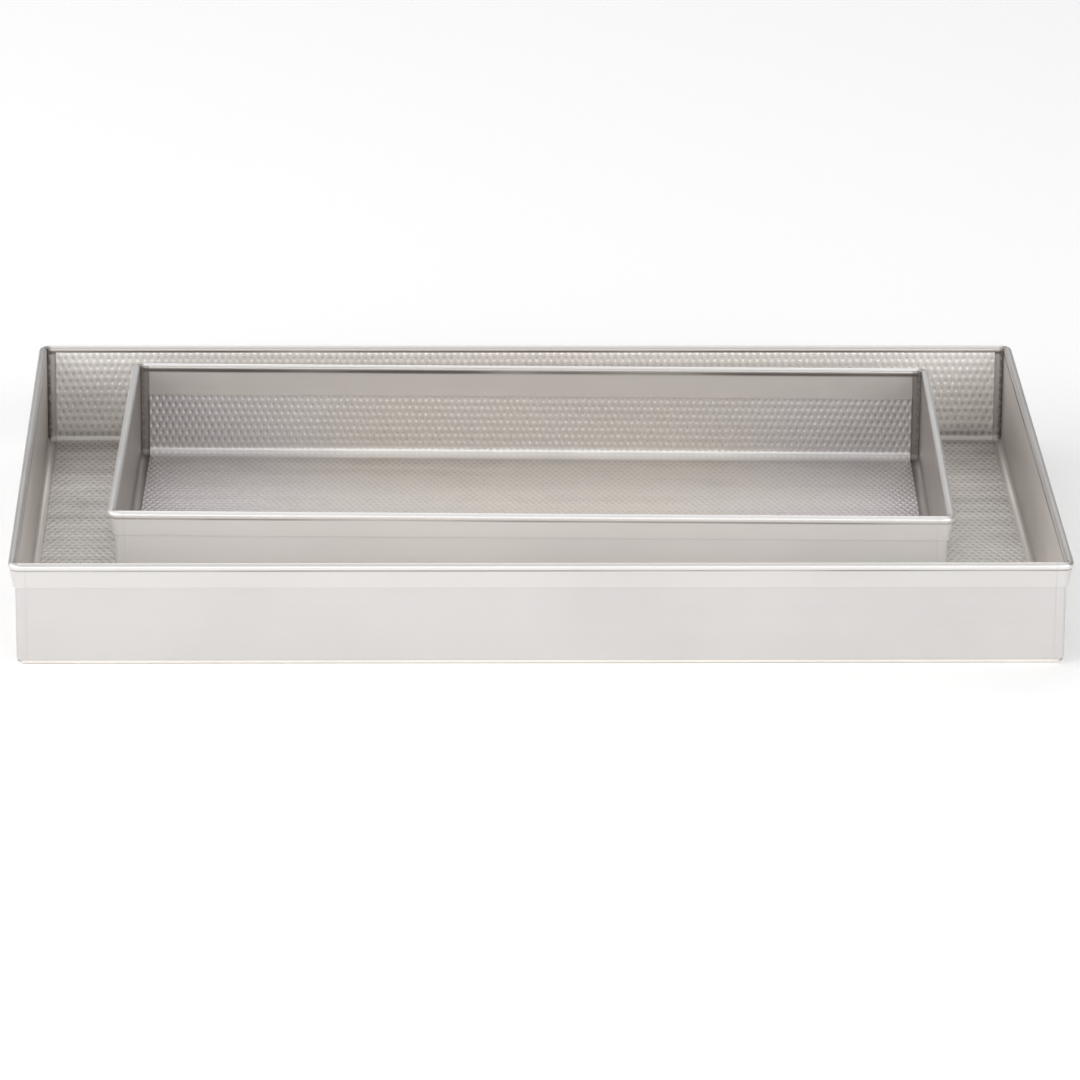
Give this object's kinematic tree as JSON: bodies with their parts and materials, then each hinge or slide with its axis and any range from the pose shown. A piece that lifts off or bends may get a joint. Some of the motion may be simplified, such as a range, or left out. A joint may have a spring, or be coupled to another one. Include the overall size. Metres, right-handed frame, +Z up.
{
  "type": "baguette tray",
  "caption": "Rectangular open sheet-metal tray with upright walls, a wired rim and a dimpled liner, holding a smaller loose tray of the same make inside it.",
  "frame": {"origin": "middle of the face that the large tray stands on", "axes": "+Z up out of the trays, X along the long sides, -Y towards the wide gap between the two trays"},
  "size_m": [0.6, 0.4, 0.062],
  "materials": {
    "folded_sheet": "smooth satin with faint lengthwise brushing",
    "textured_sheet": "dimpled satin",
    "rim_wire": "drawn galvanised wire"
  },
  "bodies": {
    "large_tray": {"large_tray_trough": "folded_sheet", "large_tray_left_end": "folded_sheet", "large_tray_right_end": "folded_sheet", "large_tray_textured_liner": "textured_sheet", "large_tray_rim_wire": "rim_wire"},
    "small_tray": {"small_tray_trough": "folded_sheet", "small_tray_left_end": "folded_sheet", "small_tray_right_end": "folded_sheet", "small_tray_textured_liner": "textured_sheet", "small_tray_rim_wire": "rim_wire"}
  },
  "joints": [
    {"name": "small_tray_lift", "type": "slide", "parent": "large_tray", "child": "small_tray", "axis": [0, 0, 1], "range_m": [0, 0.12]}
  ]
}
